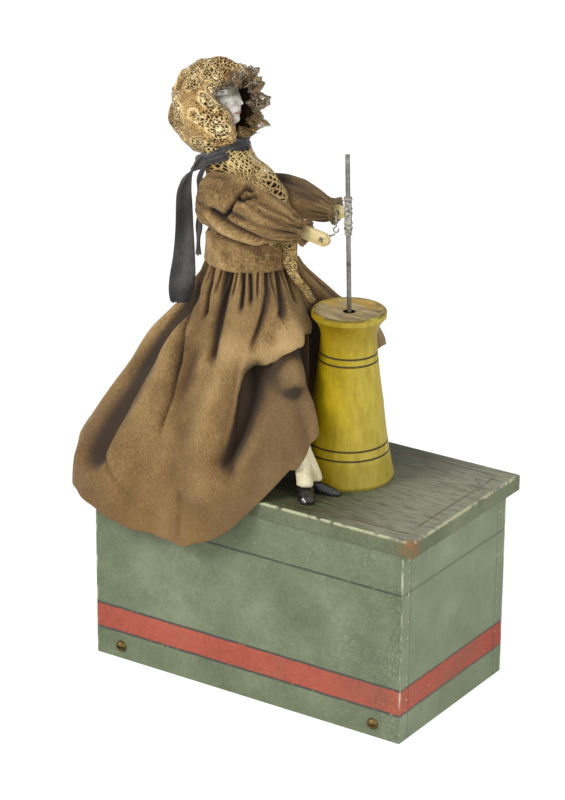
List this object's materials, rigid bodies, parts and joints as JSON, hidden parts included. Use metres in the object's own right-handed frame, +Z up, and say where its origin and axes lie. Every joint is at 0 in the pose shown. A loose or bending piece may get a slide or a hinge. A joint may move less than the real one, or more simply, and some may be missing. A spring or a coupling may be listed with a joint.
{
  "type": "clockwork_butter_churn_toy",
  "caption": "Clockwork toy: a doll in a lace bonnet and brown dress works the dasher of a turned butter churn on a painted wooden box.",
  "frame": {"origin": "centre of the underside of the box", "axes": "+X along the box towards the churn, +Y to the back where the key is, +Z up"},
  "size_m": [0.1777, 0.1203, 0.26],
  "materials": {
    "box_paint": "matt painted boards, worn at the edges",
    "lid_paint": "darker worn paint",
    "bare_wood": "plain",
    "churn_paint": "satin paint",
    "pale_wood": "pale",
    "brass": "satin",
    "steel": "satin",
    "spring_steel": "blued",
    "binding": "dull",
    "face_paint": "worn matt paint",
    "lace": "open lace",
    "black_ribbon": "velvet",
    "brown_cloth": "plain weave",
    "stocking": "knitted",
    "shoe_black": "glossy"
  },
  "bodies": {
    "case": {"front_board": "box_paint", "back_board": "box_paint", "left_end_board": "box_paint", "right_end_board": "box_paint", "top_board": "lid_paint", "bottom_board": "bare_wood", "base_screws": "brass", "lid_nails": "steel", "churn_body": "churn_paint", "churn_screws": "brass", "front_plate": "brass", "back_plate": "brass", "plate_pillars": "brass", "pillar_nuts": "steel", "movement_screws": "steel", "mainspring": "spring_steel", "figure_post": "bare_wood", "torso_block": "bare_wood", "shoulder_pin": "steel", "head": "face_paint", "bonnet": "lace", "bonnet_frill": "lace", "neck_ribbon": "black_ribbon", "ribbon_tail": "black_ribbon", "bodice": "brown_cloth", "fichu": "lace", "fichu_tail": "lace", "waistband": "brown_cloth", "skirt": "brown_cloth", "right_leg": "stocking", "left_leg": "stocking", "right_shoe": "shoe_black", "left_shoe": "shoe_black"},
    "great": {"great_wheel": "brass", "click_screw": "steel", "click_spring": "spring_steel"},
    "winder": {"winding_arbor": "steel", "ratchet_wheel": "steel", "winding_key": "steel"},
    "pawl": {"click": "steel"},
    "second": {"second_arbor": "steel", "second_wheel": "brass"},
    "crank": {"crank_arbor": "steel", "crank_wheel": "brass", "crank_disc": "brass", "crank_pin": "steel"},
    "fly": {"fly_arbor": "steel", "fly_vane": "brass"},
    "dasher": {"dasher_rod": "steel", "dasher_eye": "steel", "rod_binding": "binding"},
    "near_arm": {"right_arm": "pale_wood", "right_sleeve": "brown_cloth", "right_hand_wire": "steel"},
    "far_arm": {"left_arm": "pale_wood", "left_sleeve": "brown_cloth", "left_hand_wire": "steel"}
  },
  "joints": [
    {"name": "crank_run", "type": "hinge", "parent": "case", "child": "crank", "pos_m": [0.0208, 0.01425, 0.045], "axis": [0, 1, 0], "continuous": true},
    {"name": "train_run", "type": "hinge", "parent": "case", "child": "great", "pos_m": [-0.02211, 0.02075, 0.04343], "axis": [0, 1, 0], "continuous": true},
    {"name": "wind", "type": "hinge", "parent": "great", "child": "winder", "pos_m": [-0.02211, 0.02075, 0.04343], "axis": [0, 1, 0], "continuous": true},
    {"name": "click_lift", "type": "hinge", "parent": "great", "child": "pawl", "pos_m": [-0.0351, 0.02255, 0.05093], "axis": [0, -1, 0], "range_deg": [0, 9], "stiffness_Nm_per_rad": 0.002},
    {"name": "second_run", "type": "hinge", "parent": "case", "child": "second", "pos_m": [0.00389, 0.0226, 0.03884], "axis": [0, 1, 0], "continuous": true},
    {"name": "fly_run", "type": "hinge", "parent": "case", "child": "fly", "pos_m": [0.02705, 0.01425, 0.05582], "axis": [0, 1, 0], "continuous": true},
    {"name": "dasher_slide", "type": "slide", "parent": "case", "child": "dasher", "axis": [-0.0303, 0, 0.9995], "range_m": [-0.001, 0.014]},
    {"name": "near_arm_swing", "type": "hinge", "parent": "case", "child": "near_arm", "pos_m": [-0.031, 0.0036, 0.2025], "axis": [0, -1, 0], "range_deg": [-1.2, 16.1]},
    {"name": "far_arm_swing", "type": "hinge", "parent": "case", "child": "far_arm", "pos_m": [-0.031, 0.0036, 0.2025], "axis": [0, -1, 0], "range_deg": [-1.2, 16.1]}
  ],
  "couplings": [
    {"joint": "train_run", "follows": "crank_run", "ratio": 0.055556},
    {"joint": "second_run", "follows": "crank_run", "ratio": -0.25},
    {"joint": "fly_run", "follows": "crank_run", "ratio": -4},
    {"joint": "near_arm_swing", "follows": "dasher_slide", "rad_per_m": 20},
    {"joint": "far_arm_swing", "follows": "dasher_slide", "rad_per_m": 20}
  ]
}
